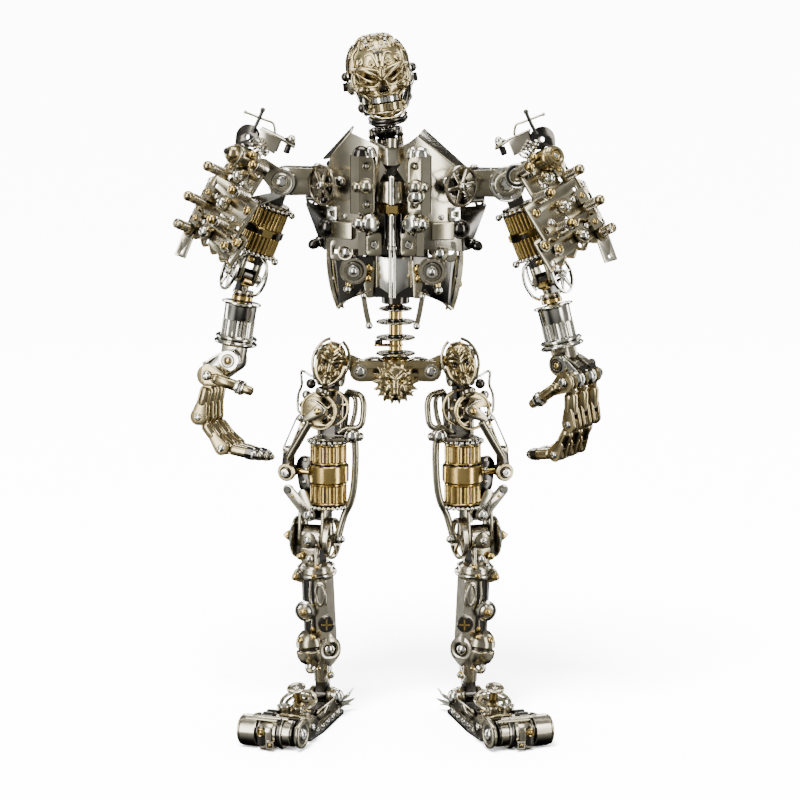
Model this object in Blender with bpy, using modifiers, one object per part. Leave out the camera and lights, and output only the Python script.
"""A standing humanoid robot built from small metal machine parts, about 350 mm tall.

It faces -Y, stands on Z = 0, and its own right hand is at -X. Each rigid body is one empty, placed
on the axis of the joint that moves it, and the solids of that body are parented to the empty.
Numbers in the body functions are millimetres in the empty's own frame, where "out" is the distance
away from the robot's middle and the limb runs down -Z.
"""

import math

import bmesh
import bpy
from mathutils import Matrix, Vector

MM = 0.001
SIDES = {"right": -1, "left": 1}

# Driving dimensions, in millimetres and degrees
HIP_HEIGHT = 181.0
WAIST_HEIGHT = 214.0
SHOULDER_HEIGHT = 275.5
NECK_HEIGHT = 294.5
NECK_OFFSET = -4.5
HEAD_NOD_HEIGHT = 17.5
KNEE_HEIGHT = 95.0
ANKLE_HEIGHT = 11.5
PELVIS_BOLT_OUT = 17.7
HIP_OUT = 32.6
HIP_BACK = 1.0
HIP_DROP = 4.0
KNEE_OUT = 41.0
ANKLE_OUT = 37.2
ANKLE_BACK = 6.0
YOKE_START = 30.0
SHOULDER_OUT = 56.0
UPPER_ARM = 52.0
FOREARM = 43.0
KNUCKLE_OUT = 7.7
KNUCKLE_DROP = 8.4
FINGER_PITCH = 8.4
PHALANX = {"proximal": 22.0, "middle": 19.6, "distal": 21.0}
FOOT_REACH = 66.0

GAP = 0.3  # between two pieces that touch on the real object
PIN_PLAY = 0.4  # between a pin and the bore that turns on it

# The stance
TORSO_TURN = -5.0
NECK_LEAN = -5.0
HEAD_TURN = 10.0
ARM_SPREAD = 22.0
FOREARM_SPREAD = {"right": 11.0, "left": 17.0}
ELBOW_TURN = 25.0
ELBOW_FLEX = 8.0
HAND_TURN = {"right": -14.0, "left": -38.0}
FINGER_CURL = {"right": (-6.0, 54.0, 41.0), "left": (16.0, 30.0, 50.0)}
FINGER_STAGGER = (2.0, -2.0, -3.0)  # added at each joint, once for the middle finger and twice for the ring
THUMB_SWING = {"right": 82.0, "left": 72.0}
LEG_TURN = 21.0

MATERIALS = {
    "pewter": ((0.44, 0.42, 0.36), 0.32, 1.0),
    "silver": ((0.72, 0.71, 0.68), 0.25, 1.0),
    "steel": ((0.58, 0.55, 0.50), 0.30, 1.0),
    "gunmetal": ((0.16, 0.16, 0.15), 0.35, 1.0),
    "brass": ((0.62, 0.47, 0.22), 0.28, 1.0),
    "antique": ((0.55, 0.48, 0.33), 0.33, 1.0),
}


def clear_scene():
    for obj in list(bpy.data.objects):
        bpy.data.objects.remove(obj, do_unlink=True)


def material(name):
    """The shader for one metal, made once."""
    found = bpy.data.materials.get(name)
    if found:
        return found
    colour, roughness, metallic = MATERIALS[name]
    made = bpy.data.materials.new(name)
    made.use_nodes = True
    shader = made.node_tree.nodes["Principled BSDF"]
    shader.inputs["Base Color"].default_value = (*colour, 1.0)
    shader.inputs["Roughness"].default_value = roughness
    shader.inputs["Metallic"].default_value = metallic
    return made


def temporary(bm, matrix=None):
    """Turns a bmesh in millimetres into a loose object in metres."""
    if matrix is not None:
        bmesh.ops.transform(bm, matrix=matrix, verts=bm.verts)
    bmesh.ops.scale(bm, vec=(MM, MM, MM), verts=bm.verts)
    bmesh.ops.recalc_face_normals(bm, faces=bm.faces)
    mesh = bpy.data.meshes.new("shape")
    bm.to_mesh(mesh)
    bm.free()
    obj = bpy.data.objects.new("shape", mesh)
    bpy.context.scene.collection.objects.link(obj)
    return obj


def cylinder(start, end, radius, sides=12, end_radius=None):
    """A round bar, a cone or, with few sides, a hexagon bar between two points."""
    start, end = Vector(start), Vector(end)
    along = end - start
    bm = bmesh.new()
    bmesh.ops.create_cone(
        bm,
        cap_ends=True,
        segments=sides,
        radius1=radius,
        radius2=radius if end_radius is None else end_radius,
        depth=along.length,
    )
    turn = along.to_track_quat("Z", "Y").to_matrix().to_4x4()
    return temporary(bm, Matrix.Translation((start + end) / 2) @ turn)


def block(low, high):
    """A box between two corners."""
    low, high = Vector(low), Vector(high)
    bm = bmesh.new()
    bmesh.ops.create_cube(bm, size=1.0)
    bmesh.ops.scale(bm, vec=high - low, verts=bm.verts)
    return temporary(bm, Matrix.Translation((low + high) / 2))


def ball(centre, radii, segments=14, rings=9):
    """A sphere or an egg."""
    bm = bmesh.new()
    bmesh.ops.create_uvsphere(bm, u_segments=segments, v_segments=rings, radius=1.0)
    bmesh.ops.scale(bm, vec=Vector(radii), verts=bm.verts)
    return temporary(bm, Matrix.Translation(Vector(centre)))


def plate(outline, near, far):
    """A flat plate: an outline in X and Z, filled between two Y values."""
    curve = bpy.data.curves.new("outline", "CURVE")
    curve.dimensions = "2D"
    curve.fill_mode = "BOTH"
    curve.extrude = (far - near) / 2 * MM
    spline = curve.splines.new("POLY")
    spline.points.add(len(outline) - 1)
    for point, (x, z) in zip(spline.points, outline):
        point.co = (x * MM, z * MM, 0.0, 1.0)
    spline.use_cyclic_u = True
    stand_up = Matrix.Rotation(math.radians(90), 4, "X")
    shift = Matrix.Translation((0.0, (near + far) / 2 * MM, 0.0))
    return mesh_of_curve(curve, shift @ stand_up)


def mesh_of_curve(curve, matrix):
    """A curve object's evaluated mesh, with its caps welded on."""
    holder = bpy.data.objects.new("curve", curve)
    bpy.context.scene.collection.objects.link(holder)
    bpy.context.view_layer.update()
    graph = bpy.context.evaluated_depsgraph_get()
    mesh = bpy.data.meshes.new_from_object(holder.evaluated_get(graph))
    bpy.data.objects.remove(holder, do_unlink=True)
    bm = bmesh.new()
    bm.from_mesh(mesh)
    bpy.data.meshes.remove(mesh)
    bmesh.ops.remove_doubles(bm, verts=bm.verts, dist=0.00001)
    bmesh.ops.scale(bm, vec=(1 / MM, 1 / MM, 1 / MM), verts=bm.verts)
    in_millimetres = matrix.copy()
    in_millimetres.translation = matrix.translation / MM
    return temporary(bm, in_millimetres)


def rod(points, radius, resolution=1):
    """A bent round rod through a list of points."""
    curve = bpy.data.curves.new("rod", "CURVE")
    curve.dimensions = "3D"
    curve.bevel_depth = radius * MM
    curve.bevel_resolution = resolution
    curve.use_fill_caps = True
    spline = curve.splines.new("POLY")
    spline.points.add(len(points) - 1)
    for point, place in zip(spline.points, points):
        point.co = (*(Vector(place) * MM), 1.0)
    return mesh_of_curve(curve, Matrix.Identity(4))


def link(first, second, first_radius, second_radius, near, far, steps=6):
    """A flat link with two round ends, from one point in X and Z to another."""
    (x1, z1), (x2, z2) = first, second
    angle = math.atan2(z2 - z1, x2 - x1)
    outline = []
    for centre, radius, begin in (((x2, z2), second_radius, -90), ((x1, z1), first_radius, 90)):
        for step in range(steps + 1):
            turn = angle + math.radians(begin + 180 * step / steps)
            outline.append((centre[0] + radius * math.cos(turn), centre[1] + radius * math.sin(turn)))
    return plate(outline, near, far)


def folded_sheet(points, faces, thickness):
    """Sheet metal folded along the shared edges of its flat faces."""
    bm = bmesh.new()
    corners = [bm.verts.new(point) for point in points]
    for face in faces:
        bm.faces.new([corners[index] for index in face])
    bmesh.ops.recalc_face_normals(bm, faces=bm.faces)
    sheet = temporary(bm)
    solidify = sheet.modifiers.new("thickness", "SOLIDIFY")
    solidify.thickness = thickness * MM
    solidify.offset = 0.0
    return sheet


def moved(obj, matrix):
    """The same loose shape, turned or shifted by a matrix in metres."""
    obj.data.transform(matrix)
    return obj


def turned(obj, degrees, axis, about=(0.0, 0.0, 0.0)):
    centre = Matrix.Translation(Vector(about) * MM)
    return moved(obj, centre @ Matrix.Rotation(math.radians(degrees), 4, axis) @ centre.inverted())


def body(name, parent, location, *turns):
    """An empty on a joint's axis, turned by (axis, degrees) pairs in order. It carries one rigid body."""
    empty = bpy.data.objects.new("body_" + name, None)
    bpy.context.scene.collection.objects.link(empty)
    place = Matrix.Translation(Vector(location) * MM)
    for axis, degrees in turns:
        place = place @ Matrix.Rotation(math.radians(degrees), 4, axis)
    empty.parent = parent
    empty.matrix_basis = place
    return empty


def combine(base, others, operation):
    for other in others:
        modifier = base.modifiers.new(operation.lower(), "BOOLEAN")
        modifier.operation = operation
        modifier.solver = "EXACT"
        modifier.object = other


def solid(name, metal, parent, shapes, cuts=()):
    """One closed solid: the union of the shapes, less the cuts, parented to a body's empty."""
    base = shapes[0]
    combine(base, shapes[1:], "UNION")
    combine(base, cuts, "DIFFERENCE")
    bpy.context.view_layer.update()
    graph = bpy.context.evaluated_depsgraph_get()
    mesh = bpy.data.meshes.new_from_object(base.evaluated_get(graph))
    for loose in (*shapes, *cuts):
        bpy.data.objects.remove(loose, do_unlink=True)
    mesh.name = name
    mesh.materials.clear()
    mesh.materials.append(material(metal))
    mesh.shade_smooth()
    mesh.set_sharp_from_angle(angle=math.radians(35))
    obj = bpy.data.objects.new(name, mesh)
    bpy.data.collections["humanoid_robot"].objects.link(obj)
    obj.parent = parent
    return obj


def bore(centre, axis, radius, length, sides=8):
    """A cutter for a round hole through a point."""
    half = Vector(axis).normalized() * length / 2
    return cylinder(Vector(centre) - half, Vector(centre) + half, radius, sides)


# ---------------------------------------------------------------- pelvis and spine


def make_pelvis():
    pelvis = body("pelvis", None, (0, 0, 0))
    height = HIP_HEIGHT
    bar = [link((-PELVIS_BOLT_OUT, height), (PELVIS_BOLT_OUT, height), 5.5, 5.5, -8.0, -2.0)]
    bar.append(block((-6, -6, height - 6), (6, 6, height + 6.2)))
    bar.append(cylinder((0, -10.5, height - 4.5), (0, -7, height - 4.5), 4.0, 10))
    for sign in SIDES.values():
        x = sign * PELVIS_BOLT_OUT
        bar.append(cylinder((x, -9.8, height), (x, 4.0, height), 1.5, 10))
        bar.append(cylinder((x, -9.9, height), (x, -7.9, height), 2.9, 12))
        bar.append(cylinder((x, 1.8, height), (x, 3.9, height), 3.0, 6))
    solid("pelvis_bar", "antique", pelvis, bar)

    spine = [cylinder((0, 0, height + 6.2 + GAP), (0, 0, WAIST_HEIGHT - GAP), 3.4, 12)]
    spine.append(cylinder((0, 0, WAIST_HEIGHT - 2), (0, 0, WAIST_HEIGHT + 9), 2.4, 10))
    for z, radius in ((height + 8, 10.0), (height + 16, 10.0), (height + 24, 10.0), (WAIST_HEIGHT - 2.4, 8.5)):
        spine.append(cylinder((0, 0, z - 0.7), (0, 0, z + 0.7), radius, 14))
    solid("spine_tube", "brass", pelvis, spine)

    centre = Vector((0, 0, height - 4.5))
    ruff = []
    teeth = 16
    for index in range(teeth * 2):
        radius = 13.0 if index % 2 == 0 else 10.6
        angle = math.pi * index / teeth
        ruff.append((radius * math.cos(angle), centre.z + radius * math.sin(angle)))
    face = ball((0, -13.0, centre.z), (8.8, 7.5, 11.5), 12, 8)
    medallion = [plate(ruff, -13.4, -10.8), face]
    behind = block((-20, -10.8, centre.z - 20), (20, 20, centre.z + 20))
    solid("pelvis_medallion", "antique", pelvis, medallion, [behind])
    return pelvis


# ---------------------------------------------------------------- chest


def panel_y(out):
    """How far forward the slanted breast panel stands at a distance out from the middle."""
    return -21.0 + (out - 12.5) * 0.488


def make_chest_core(chest):
    height = SHOULDER_HEIGHT - WAIST_HEIGHT
    shapes = [
        block((-12, -7, 4), (12, 12, 79.7)),
        cylinder((0, 0, 0.4), (0, 0, 6), 7.0, 12),
        block((-YOKE_START + GAP, -6, height - 7), (YOKE_START - GAP, 9, height + 7)),
        block((-23, 10, 14), (23, 13, 76)),
    ]
    cuts = [cylinder((0, 0, -1), (0, 0, 10), 2.4 + PIN_PLAY, 12)]
    cuts.append(cylinder((NECK_OFFSET, 2, 74), (NECK_OFFSET, 2, 85), 3.6, 12))
    for sign in SIDES.values():
        x = sign * YOKE_START
        cuts.append(cylinder((x - sign * 12, 0, height), (x + sign * 2, 0, height), 3.0 + PIN_PLAY, 12))
    solid("chest_core", "gunmetal", chest, shapes, cuts)


def make_chest_front(chest):
    y = -14.5
    shapes = [
        cylinder((0, y, 54), (0, y, 67.5), 6.2, 14),
        cylinder((0, y, 47.5), (0, y, 54.5), 6.6, 6),
        cylinder((0, y, 31), (0, y, 48), 4.8, 14),
        cylinder((0, y, 5.5), (0, y, 32), 1.7, 10),
        cylinder((0, y, 67), (0, y, 72), 1.7, 10),
    ]
    solid("sternum_rod", "silver", chest, shapes)
    outline = [(-8.6, 25), (8.6, 25), (8.6, 10.5), (0, 5), (-8.6, 10.5)]
    solid("belly_plate", "silver", chest, [plate(outline, -10.6, -9.2)])


def make_chest_side(chest, side):
    sign = SIDES[side]
    corners = [
        (6, 81), (17.5, 87), (34, 72), (34, 50), (34, 28), (12.5, 30), (8, 60),
    ]
    points = [(sign * out, panel_y(out), z) for out, z in corners]
    behind = [(17.5, 9, 86), (36, 9, 71.5), (45.5, 2, 50), (36.5, 2, 27), (44, 9.5, 50), (36, 9.5, 27)]
    points += [(sign * out, y, z) for out, y, z in behind]
    faces = [(0, 1, 6), (1, 2, 3, 6), (3, 4, 5, 6), (1, 7, 8, 2), (3, 9, 10, 4), (9, 11, 12, 10)]
    shapes = [folded_sheet(points, faces, 1.4)]
    wheel = Vector((sign * 34.3, -22.0, SHOULDER_HEIGHT - WAIST_HEIGHT))
    facing = Vector((sign * 0.707, -0.707, 0.0))
    shapes.append(cylinder(wheel - facing * 0.8, wheel + facing * 0.9, 10.4, 14))
    shapes.append(cylinder(wheel, wheel + facing * 2.6, 2.3, 10))
    foot = Vector((sign * 29.0, panel_y(29.0) + 0.4, wheel.z))
    shapes.append(cylinder(foot, wheel, 2.2, 10))
    solid(f"chest_plate_{side}", "steel", chest, shapes)

    shapes = [
        block((9.0, -28.0, 47), (20.0, -24.3, 80)),
        block((10.0, -26.0, 37), (16.0, -23.6, 48)),
        block((4.5, -26.0, 27), (16.0, -23.2, 38.5)),
        cylinder((14.2, -31.5, 61.5), (14.2, -27.5, 61.5), 3.2, 12),
        cylinder((11.6, -32.0, 42.5), (11.6, -25.0, 42.5), 3.0, 12),
        cylinder((14.5, -25.0, 74), (14.5, -22.4, 74), 2.0, 8),
    ]
    if sign < 0:
        for shape in shapes:
            mirror_across_middle(shape)
    solid(f"chest_bar_{side}", "pewter", chest, shapes)

    ribs = [(10, -13.5, 25.5), (23, -14.5, 26), (31.5, -7, 26), (33, 9, 25.5)]
    lower = [(10, -12.0, 8), (21, -12.8, 5), (28.6, -7, 1), (28.5, 8, 3.5)]
    points = [(sign * out, y, z) for out, y, z in ribs + lower]
    shapes = [folded_sheet(points, [(0, 1, 5, 4), (1, 2, 6, 5), (2, 3, 7, 6)], 1.4)]
    shapes.append(cylinder((sign * 19.5, -12, 18.5), (sign * 19.5, -19.5, 18.5), 6.2, 12))
    shapes.append(cylinder((sign * 19.5, -19, 18.5), (sign * 19.5, -22.0, 18.5), 4.2, 10))
    shapes.append(cylinder((sign * 13.4, -12.2, 10.2), (sign * 14.2, -15.9, 3.4), 1.5, 6))
    shapes.append(cylinder((sign * 14.3, -15.2, 5.2), (sign * 11.8, -15.4, -9), 1.3, 6))
    solid(f"rib_plate_{side}", "gunmetal", chest, shapes)


def mirror_across_middle(obj):
    """Turns a loose shape into its mirror image in the X = 0 plane."""
    obj.data.transform(Matrix.Scale(-1, 4, (1, 0, 0)))
    obj.data.flip_normals()


def make_chest(pelvis):
    chest = body("chest", pelvis, (0, 0, WAIST_HEIGHT), ("Z", TORSO_TURN))
    make_chest_core(chest)
    make_chest_front(chest)
    for side in SIDES:
        make_chest_side(chest, side)
    return chest


# ---------------------------------------------------------------- neck and head


def make_head(chest):
    place = (NECK_OFFSET, 2, NECK_HEIGHT - WAIST_HEIGHT)
    neck = body("neck", chest, place, ("Y", NECK_LEAN), ("Z", HEAD_TURN))
    top = HEAD_NOD_HEIGHT
    shapes = [
        cylinder((0, 0, 0), (0, 0, top - 5.5), 3.7, 12),
        cylinder((0, 0, -6), (0, 0, 1), 2.6, 10),
        cylinder((0, 0, 0), (0, 0, 2.2), 6.0, 12),
        block((-2.2, -3.2, top - 6), (2.2, 3.2, top)),
        cylinder((-2.5, 0, top), (2.5, 0, top), 3.6, 12),
    ]
    solid("neck_post", "silver", neck, shapes, [bore((0, 0, top), (1, 0, 0), 1.5 + PIN_PLAY, 10)])

    head = body("head", neck, (0, 0, top))
    shapes = [
        ball((0, 0, 20.5), (14.6, 17.2, 17.4), 16, 11),
        block((-9.0, -18.5, 5.5), (9.0, -6, 14)),
        cylinder((-7, 0, 0), (7, 0, 0), 1.5, 10),
        cylinder((-17.6, -1, 13), (17.6, -1, 13), 1.5, 10),
    ]
    for sign in SIDES.values():
        shapes.append(block((min(sign * 3.2, sign * 6), -3.4, -3.2), (max(sign * 3.2, sign * 6), 3.4, 10)))
        shapes.append(cylinder((sign * 16.3, -1, 13), (sign * 18.0, -1, 13), 3.2, 12))
    cuts = [block((-3.1, -12, -6), (3.1, 12, 6.5))]
    solid("skull", "antique", head, shapes, cuts)

    jaw = body("jaw", head, (0, -1, 13))
    shapes = [
        block((-8.2, -17.0, -17.4), (8.2, -9.5, -8.3)),
        block((-10.6, -12.6, -16.4), (10.6, -9.8, -10.0)),
    ]
    for sign in SIDES.values():
        ramus = turned(link((0, 0), (-11, -13.5), 3.4, 2.6, -0.8, 0.8), 90, "Z")
        shapes.append(moved(ramus, Matrix.Translation((sign * 15.2 * MM, 0, 0))))
        low, high = sorted((sign * 9.5, sign * 15.9))
        shapes.append(block((low, -12.4, -15.6), (high, -10.2, -11.6)))
    holes = [bore((sign * 15.2, 0, 0), (1, 0, 0), 1.5 + PIN_PLAY, 4) for sign in SIDES.values()]
    solid("jaw", "antique", jaw, shapes, holes)


# ---------------------------------------------------------------- arms and hands


def make_arm(chest, side):
    sign = SIDES[side]
    height = SHOULDER_HEIGHT - WAIST_HEIGHT
    reach = SHOULDER_OUT - YOKE_START

    def at(out, y, z):
        return (sign * out, y, z)

    yoke = body(f"shoulder_{side}", chest, at(YOKE_START, 0, height))
    low, high = sorted((sign * 0.7, sign * (reach - 8.4)))
    shapes = [block((low, -5.0, -7.0), (high, 5.0, 7.0)), cylinder(at(-9, 0, 0), at(3, 0, 0), 3.0, 10)]
    for near, far in ((-7.2, -4.7), (4.7, 7.2)):
        low, high = sorted((sign * (reach - 14), sign * reach))
        shapes.append(block((low, near, -6.8), (high, far, 6.8)))
        shapes.append(cylinder((sign * reach, near, 0), (sign * reach, far, 0), 7.2, 14))
    shapes.append(cylinder(at(reach, -9.6, 0), at(reach, 9.0, 0), 2.0, 10))
    shapes.append(cylinder(at(reach, -10.4, 0), at(reach, -7.0, 0), 4.6, 14))
    shapes.append(cylinder(at(reach, 7.0, 0), at(reach, 9.2, 0), 3.6, 6))
    solid(f"shoulder_yoke_{side}", "pewter", yoke, shapes)

    arm = body(f"upper_arm_{side}", yoke, at(reach, 0, 0), ("Y", -sign * ARM_SPREAD))
    turn = -sign * ELBOW_TURN
    shapes = [
        cylinder((0, -4.4, 0), (0, 4.4, 0), 6.6, 14),
        block((-4.0, -4.0, -14.5), (4.0, 4.0, -2)),
        cylinder((0, 0, -13.4), (0, 0, -15.6), 10.6, 14),
        cylinder((0, 0, -15), (0, 0, -38), 9.0, 14),
        cylinder((0, 0, -37.4), (0, 0, -39.6), 10.6, 14),
        cylinder((0, 0, -39), (0, 0, -44.5), 6.2, 12),
    ]
    for near, far in ((-5.2, -3.1), (3.1, 5.2)):
        cheek = link((0, -43), (0, -UPPER_ARM), 3.6, 4.4, near, far)
        shapes.append(turned(cheek, 90 + turn, "Z"))
    pin = cylinder((-9.5, 0, -UPPER_ARM), (9.5, 0, -UPPER_ARM), 1.5, 10)
    wheel = cylinder(at(8.2, 0, -UPPER_ARM), at(9.8, 0, -UPPER_ARM), 10.2, 14)
    shapes += [turned(pin, turn, "Z"), turned(wheel, turn, "Z")]
    solid(f"upper_arm_{side}", "brass", arm, shapes, [bore((0, 0, 0), (0, 1, 0), 2.0 + PIN_PLAY, 12)])
    make_pauldron(arm, side)

    elbow = body(f"elbow_{side}", arm, (0, 0, -UPPER_ARM), ("Z", turn), ("X", -ELBOW_FLEX))
    tilt = sign * (ARM_SPREAD - FOREARM_SPREAD[side])
    shapes = [
        cylinder((-2.8, 0, 0), (2.8, 0, 0), 4.2, 12),
        block((-2.5, -3.2, -8.5), (2.5, 3.2, -1)),
        turned(cylinder((0, 0, -7.0), (0, 0, -12.4), 5.6, 10), tilt, "Y"),
        turned(cylinder((0, 0, -11), (0, 0, -21), 3.0, 10), tilt, "Y"),
    ]
    solid(f"elbow_block_{side}", "gunmetal", elbow, shapes, [bore((0, 0, 0), (1, 0, 0), 1.5 + PIN_PLAY, 12)])

    forearm = body(f"forearm_{side}", elbow, (0, 0, 0), ("Y", tilt), ("Z", HAND_TURN[side] - turn))
    shapes = [
        cylinder((0, 0, -12.8), (0, 0, -14.4), 10.0, 14),
        cylinder((0, 0, -14), (0, 0, -31.5), 8.2, 14),
        cylinder((0, 0, -31), (0, 0, -33.6), 10.8, 14),
        block((-6.0, -3.5, -FOREARM), (6.0, 3.5, -33)),
        cylinder((0, -3.5, -FOREARM), (0, 3.5, -FOREARM), 6.0, 14),
    ]
    cuts = [
        cylinder((0, 0, -12), (0, 0, -21.5), 3.0 + PIN_PLAY, 12),
        bore((0, 0, -FOREARM), (0, 1, 0), 2.0 + PIN_PLAY, 12),
    ]
    solid(f"forearm_sleeve_{side}", "silver", forearm, shapes, cuts)
    make_hand(forearm, side)


def make_pauldron(arm, side):
    """The armour over the outside of the shoulder: stepped plates with spring bolts."""
    sign = SIDES[side]
    outward = Vector((sign * 0.60, -0.70, 0.38)).normalized()
    down = Vector((sign * 0.50, 0.0, -0.86))
    down = (down - outward * down.dot(outward)).normalized()
    hanging = Matrix((down.cross(outward), down, outward)).transposed().to_4x4()
    hanging.translation = Vector((sign * 9.0, -14.0, 14.0)) * MM
    frame = Matrix.Rotation(math.radians(sign * ARM_SPREAD), 4, "Y") @ hanging

    def placed(shape):
        return moved(shape, frame)

    tab_low, tab_high = sorted((sign * 2, sign * 9))
    shapes = [
        placed(block((-14, -4, -1.0), (14, 16, 1.0))),
        placed(block((-17, 12, 0.4), (17, 33, 2.4))),
        placed(block((-15, 29, -1.2), (15, 50, 0.8))),
        placed(block((tab_low, 46, -0.9), (tab_high, 60, 0.7))),
    ]
    for across, along, height in ((-7, 4, 13), (7, -1, 9), (-11, 19, 12), (8, 20, 13), (-10, 36, 12), (8, 37, 13)):
        place = sign * across
        shapes.append(placed(cylinder((place, along, -0.2), (place, along, height), 2.6, 8)))
    arm_point = Vector((sign * 6.0, -9.6, 6.0))
    plate_point = (frame @ (Vector((0, 4, 0)) * MM)) / MM
    shapes.append(link((0, 0), (sign * 9.0, 8.0), 6.4, 4.0, -12.4, -10.6))
    shapes.append(cylinder(arm_point + Vector((0, -1.6, 0)), plate_point, 3.0, 8))
    solid(f"pauldron_{side}", "pewter", arm, shapes, [bore((0, -11, 0), (0, 1, 0), 4.6 + 0.5, 8, 12)])


def make_hand(forearm, side):
    sign = SIDES[side]
    hand = body(f"hand_{side}", forearm, (0, 0, -FOREARM))
    knuckle = (sign * KNUCKLE_OUT, -KNUCKLE_DROP)
    shapes = []
    for near, far in ((-5.9, -3.9), (3.9, 5.9)):
        shapes.append(link((0, 0), knuckle, 5.8, 5.0, near, far))
    shapes.append(cylinder((0, -7.6, 0), (0, 7.6, 0), 2.0, 10))
    shapes.append(cylinder((0, -7.8, 0), (0, -5.6, 0), 5.4, 14))
    shapes.append(cylinder((0, 5.6, 0), (0, 7.6, 0), 4.0, 6))
    x, z = knuckle
    for near, far in ((-6.9, -1.5), (1.5, 6.9)):
        shapes.append(cylinder((x, near, z), (x, far, z), 5.0, 14))
    shapes.append(cylinder((x, -16.0, z), (x, 12.6, z), 1.4, 10))
    for near, far, radius in ((-11.4, -9.9, 4.0), (9.9, 11.2, 4.0), (-16.4, -14.4, 2.6), (11.0, 12.8, 3.0)):
        shapes.append(cylinder((x, near, z), (x, far, z), radius, 12))
    solid(f"palm_{side}", "silver", hand, shapes)

    for order, finger in enumerate(("index", "middle", "ring")):
        make_finger(hand, side, finger, order)
    thumb = body(f"thumb_{side}", hand, (x, 0, z), ("Y", sign * THUMB_SWING[side]))
    shapes = [
        cylinder((0, -14.1, 0), (0, -11.7, 0), 5.6, 14),
        link((0, 0), (0, -8.0), 5.2, 3.0, -13.9, -12.2),
        cylinder((0, -15.4, -6.6), (0, -15.4, -17), 2.8, 10),
        cylinder((0, -15.4, -16), (0, -15.4, -20), 4.0, 6),
        cylinder((0, -15.4, -19), (0, -15.4, -25.5), 2.6, 10),
    ]
    solid(f"thumb_{side}", "antique", thumb, shapes, [bore((0, -13, 0), (0, 1, 0), 1.4 + PIN_PLAY, 8)])


def make_finger(hand, side, finger, order):
    """Three phalanges. Each has a flat eye above and, except the last, a fork with its screw below."""
    sign = SIDES[side]
    parent = hand
    place = (sign * KNUCKLE_OUT, (order - 1) * FINGER_PITCH, -KNUCKLE_DROP)
    radii = {"proximal": (4.4, 3.4, 6.8), "middle": (3.9, 3.15, 4.9), "distal": (3.6, 2.8, 4.6)}
    for joint, (phalanx, length) in enumerate(PHALANX.items()):
        curl = FINGER_CURL[side][joint] + order * FINGER_STAGGER[joint]
        name = f"{finger}_{phalanx}_{side}"
        part = body(name, parent, place, ("Y", sign * curl))
        eye, tube, start = radii[phalanx]
        shapes = [
            cylinder((0, -1.2, 0), (0, 1.2, 0), eye, 10),
            block((-2.3, -1.1, -start - 0.8), (2.3, 1.1, 0)),
        ]
        if phalanx == "distal":
            shapes.append(cylinder((0, 0, -start), (0, 0, -13.5), tube, 8))
            shapes.append(cylinder((0, 0, -13), (0, 0, -17), 3.6, 6))
            shapes.append(cylinder((0, 0, -16), (0, 0, -length), 2.5, 8, 1.6))
        else:
            shapes.append(cylinder((0, 0, -start), (0, 0, -length + 4.7), tube, 8))
            for near, far in ((-2.9, -1.5), (1.5, 2.9)):
                shapes.append(link((0, -length + 5.4), (0, -length), 2.4, eye - 0.3, near, far, 4))
            shapes.append(cylinder((0, -3.9, -length), (0, 3.9, -length), 1.3, 6))
        hole = 1.4 if phalanx == "proximal" else 1.3
        cuts = [bore((0, 0, 0), (0, 1, 0), hole + PIN_PLAY, 6, 8)]
        solid(name, "antique", part, shapes, cuts)
        parent, place = part, (0, 0, -length)


# ---------------------------------------------------------------- legs and feet


def knee_offset(side):
    """From the hip's centre to the knee's centre, in the frame of the turned leg."""
    straight = Vector((SIDES[side] * (KNEE_OUT - HIP_OUT), -HIP_BACK, KNEE_HEIGHT - HIP_HEIGHT + HIP_DROP))
    return Matrix.Rotation(math.radians(-SIDES[side] * LEG_TURN), 3, "Z") @ straight


def ankle_offset(side):
    """From the knee's centre to the ankle's centre, in the frame of the turned leg."""
    straight = Vector((SIDES[side] * (ANKLE_OUT - KNEE_OUT), ANKLE_BACK, ANKLE_HEIGHT - KNEE_HEIGHT))
    return Matrix.Rotation(math.radians(-SIDES[side] * LEG_TURN), 3, "Z") @ straight


def make_leg(pelvis, side):
    """The hip, knee, ankle and toe axes are level and parallel: X of a frame turned toes out."""
    sign = SIDES[side]

    def at(out, y, z):
        return (sign * out, y, z)

    hip = body(f"hip_{side}", pelvis, at(PELVIS_BOLT_OUT, 0, HIP_HEIGHT))
    centre = at(HIP_OUT - PELVIS_BOLT_OUT, HIP_BACK, -HIP_DROP)
    frame = Matrix.Translation(Vector(centre) * MM) @ Matrix.Rotation(math.radians(sign * LEG_TURN), 4, "Z")
    shapes = [link((0, 0), (sign * 5.0, 4.0), 5.4, 3.4, -1.6, 1.4)]
    for near, far in ((-6.4, -4.3), (4.3, 6.4)):
        cheek = turned(link((0, 8), (0, 0), 5.0, 5.0, near, far, 4), 90, "Z")
        shapes.append(moved(cheek, frame))
    shapes.append(moved(block((-6.0, -4.6, 6.5), (6.0, 4.6, 12.5)), frame))
    shapes.append(moved(cylinder((-7.6, 0, 0), (7.6, 0, 0), 1.7, 8), frame))
    solid(f"hip_block_{side}", "pewter", hip, shapes, [bore((0, 0, 0), (0, 1, 0), 1.5 + PIN_PLAY, 8)])

    thigh = body(f"thigh_{side}", hip, centre, ("Z", sign * LEG_TURN))
    make_thigh(thigh, side)
    shin = body(f"shin_{side}", thigh, knee_offset(side))
    make_shin(shin, side)
    foot = body(f"foot_{side}", shin, ankle_offset(side))
    make_foot(foot, side)


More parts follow.
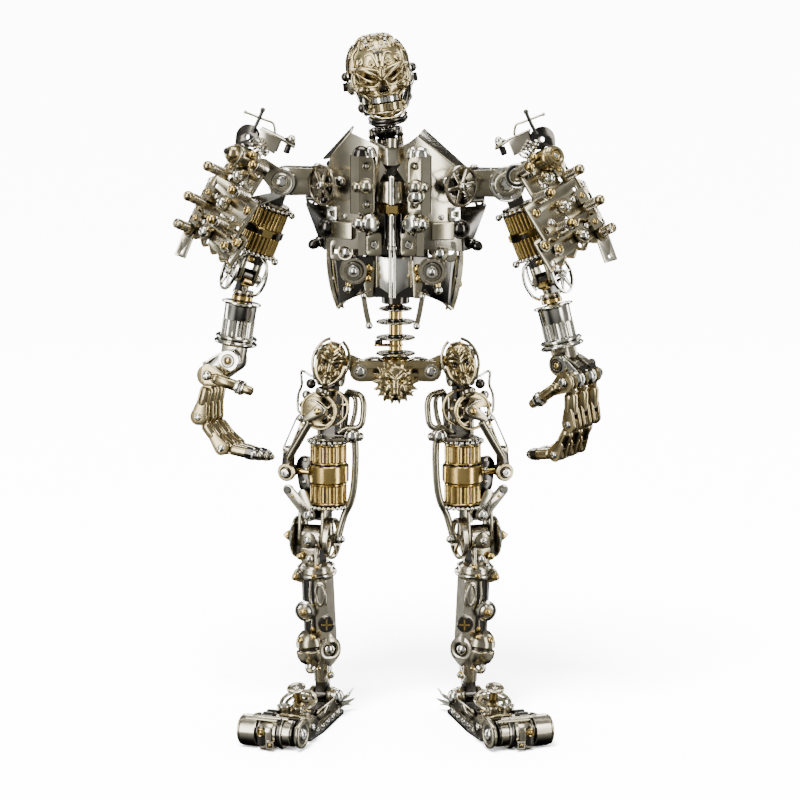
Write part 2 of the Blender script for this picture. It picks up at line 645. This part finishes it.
def make_thigh(thigh, side):
    sign = SIDES[side]
    knee = knee_offset(side)
    drum = Vector((sign * 0.5, -2.0, 0.0))

    def at(out, y, z):
        return (sign * out, y, z)

    def on_drum(z):
        return drum + Vector((0, 0, z))

    shapes = [
        cylinder((-4.0, 0, 0), (4.0, 0, 0), 4.6, 12),
        block((-3.7, -3.5, -31), (3.7, 3.5, -2)),
        cylinder(on_drum(-30), on_drum(-32.6), 11.0, 14),
        cylinder(on_drum(-32), on_drum(-65.5), 9.6, 14),
        cylinder(on_drum(-65), on_drum(-67.6), 11.0, 14),
        block((knee.x - 7.0, -5.2, -73.0), (knee.x + 7.0, 4.8, -67.0)),
        cylinder((0, -2, -15), (0, -13.3, -15), 2.6, 8),
    ]
    for near, far in ((-7.2, -5.2), (5.2, 7.2)):
        cheek = turned(link((0, 12), (0, 0), 5.0, 6.0, near, far, 4), 90, "Z")
        shapes.append(moved(cheek, Matrix.Translation(knee * MM)))
    for sign_x in (-1, 1):
        shapes.append(cylinder(knee + Vector((sign_x * 8.6, 0, 0)), knee + Vector((sign_x * 10.2, 0, 0)), 10.6, 14))
    pin = Vector((13.5, 0, 0))
    shapes.append(cylinder(knee - pin, knee + pin, 2.0, 8))
    inner = knee - Vector((sign * 12.6, 0, 0))
    shapes.append(
        rod([at(-2.2, 0.4, -8.6), at(-12.0, -1.4, -12.0), at(-14.4, -2, -22), at(-14.0, -2, -40),
             at(-12.8, -2, -56), at(-8.0, -2, -70), inner], 1.4, 0)
    )
    facing_front = Matrix.Rotation(math.radians(-sign * LEG_TURN), 4, "Z")
    mask = [cylinder((0, -7.0, -5.5), (0, -15.5, 5.0), 2.8, 8), ball((0, -15.5, 8.0), (8.0, 5.6, 11.4), 12, 8)]
    shapes += [moved(shape, facing_front) for shape in mask]
    shapes.append(block((-2.6, -9.5, -8.5), (2.6, -2.8, -4.0)))
    bores = [bore((0, 0, 0), (1, 0, 0), 1.7 + PIN_PLAY, 12, 10)]
    solid(f"thigh_{side}", "brass", thigh, shapes, bores)

    y = -15.0
    shapes = [
        cylinder((0, y - 1.1, -15), (0, y + 1.0, -15), 9.7, 14),
        cylinder((0, y - 3.6, -15), (0, y, -15), 2.6, 8),
        link((sign * 3.0, -20.0), (sign * 12.5, -36.5), 3.0, 2.4, y - 2.6, y - 0.9),
        cylinder(at(11.6, y - 2.9, -36.5), at(15.4, -9.0, -43), 1.8, 8),
        cylinder(at(16.0, -12.5, -45), at(16.0, -4.5, -45), 4.6, 12),
        link((sign * 16.5, -47.0), (sign * 15.5, -62.0), 3.0, 3.2, -9.4, -7.4),
    ]
    solid(f"thigh_linkage_{side}", "steel", thigh, shapes)


def make_shin(shin, side):
    sign = SIDES[side]
    ankle = ankle_offset(side)
    run = Vector((0, 0, -1)).rotation_difference(ankle).to_matrix().to_4x4()

    def at(out, y, z):
        return (sign * out, y, z)

    low, high = sorted((sign * -6.4, sign * 7.6))
    along = [
        cylinder((0, 0, -15.5), (0, 0, -20.5), 10.0, 14),
        block((low, -5.2, -56), (high, 5.2, -19)),
        ball(at(2.5, -4.5, -56), (7.8, 6.8, 8.2), 10, 7),
        cylinder(at(-4, 0, -56), at(-7.8, 0, -56), 7.4, 12),
        cylinder((0, 0, -58), (0, 0, -76), 4.6, 10, 3.8),
        cylinder(at(3.5, -4, -37), at(3.5, -11.5, -37), 4.6, 10),
        cylinder(at(-5, -2, -44), at(-9.5, -3, -44), 4.4, 8),
        cylinder(at(5.5, -6, -18), at(5.5, -13.0, -18), 3.6, 8),
    ]
    shapes = [
        cylinder((-4.9, 0, 0), (4.9, 0, 0), 6.6, 12),
        block((-4.6, -5.4, -17), (4.6, 5.4, -2)),
        cylinder(ankle - Vector((3.1, 0, 0)), ankle + Vector((3.1, 0, 0)), 4.2, 10),
        block(ankle + Vector((-2.8, -3.3, 0)), ankle + Vector((2.8, 3.3, 10))),
    ]
    shapes += [moved(shape, run) for shape in along]
    cuts = [
        bore((0, 0, 0), (1, 0, 0), 2.0 + PIN_PLAY, 14, 10),
        bore(ankle, (1, 0, 0), 1.6 + PIN_PLAY, 14, 10),
    ]
    solid(f"shin_{side}", "pewter", shin, shapes, cuts)


def make_foot(foot, side):
    sign = SIDES[side]
    floor = -ANKLE_HEIGHT

    def at(out, y, z):
        return (sign * out, y, z)

    outline = [(-7.5, 13), (7.5, 13), (13.5, -30), (13.5, -50), (-13.5, -50), (-13.5, -30)]
    sole = turned(plate(outline, -5.4, 0.0), -90, "X")
    shapes = [moved(sole, Matrix.Translation((0, 0, floor * MM)))]
    for near, far in ((-6.2, -3.5), (3.5, 6.2)):
        shapes.append(turned(link((0, 0), (0, floor + 5.8), 5.0, 5.0, near, far, 4), 90, "Z"))
    shapes += [
        cylinder((-7.6, 0, 0), (7.6, 0, 0), 1.6, 8),
        cylinder(at(-9.0, 0, 0), at(-6.0, 0, 0), 4.0, 10),
        block((-7.0, -34, floor + 5), (7.0, -9, floor + 12.0)),
        cylinder((0, -22, floor + 11), (0, -24, floor + 15), 9.8, 14),
        cylinder((0, -21, floor + 14), (0, -23, floor + 22), 2.4, 8),
        cylinder((0, -22.6, floor + 21.4), (0, -23.2, floor + 24), 4.8, 12),
        block((-11.5, -48, floor + 4), (11.5, -32, floor + 12.5)),
        block((-15.4, -52, floor + 3), (15.4, -46.5, floor + 11)),
        cylinder((-17.6, -FOOT_REACH, floor + 8.2), (17.6, -FOOT_REACH, floor + 8.2), 1.8, 8),
    ]
    for sign_x in (-1, 1):
        cheek = turned(link((0, 0), (0, 17), 7.0, 5.5, -0.9, 0.9, 4), -90, "X")
        cheek = turned(cheek, 90, "Y")
        place = Matrix.Translation(Vector((sign_x * 14.6, -FOOT_REACH, floor + 8.2)) * MM)
        shapes.append(moved(cheek, place))
    solid(f"foot_{side}", "steel", foot, shapes)

    toe = body(f"toe_{side}", foot, (0, -FOOT_REACH, floor + 8.2))
    shapes = [
        cylinder((-13.2, 0, 0), (13.2, 0, 0), 7.0, 12),
        block((-12.9, -8.6, -7.6), (12.9, -1.0, 5.4)),
    ]
    solid(f"toe_block_{side}", "pewter", toe, shapes, [bore((0, 0, 0), (1, 0, 0), 1.8 + PIN_PLAY, 30, 10)])


def centre_on_floor(root):
    """Moves the whole robot so that the middle of its bounding box's base is the world's origin."""
    bpy.context.view_layer.update()
    corners = [
        obj.matrix_world @ vertex.co
        for obj in bpy.data.collections["humanoid_robot"].objects
        for vertex in obj.data.vertices
    ]
    for axis in (0, 1):
        places = [corner[axis] for corner in corners]
        root.location[axis] -= (min(places) + max(places)) / 2
    root.location.z -= min(corner.z for corner in corners)


def main():
    clear_scene()
    collection = bpy.data.collections.new("humanoid_robot")
    bpy.context.scene.collection.children.link(collection)
    pelvis = make_pelvis()
    chest = make_chest(pelvis)
    make_head(chest)
    for side in SIDES:
        make_arm(chest, side)
        make_leg(pelvis, side)
    centre_on_floor(pelvis)


main()
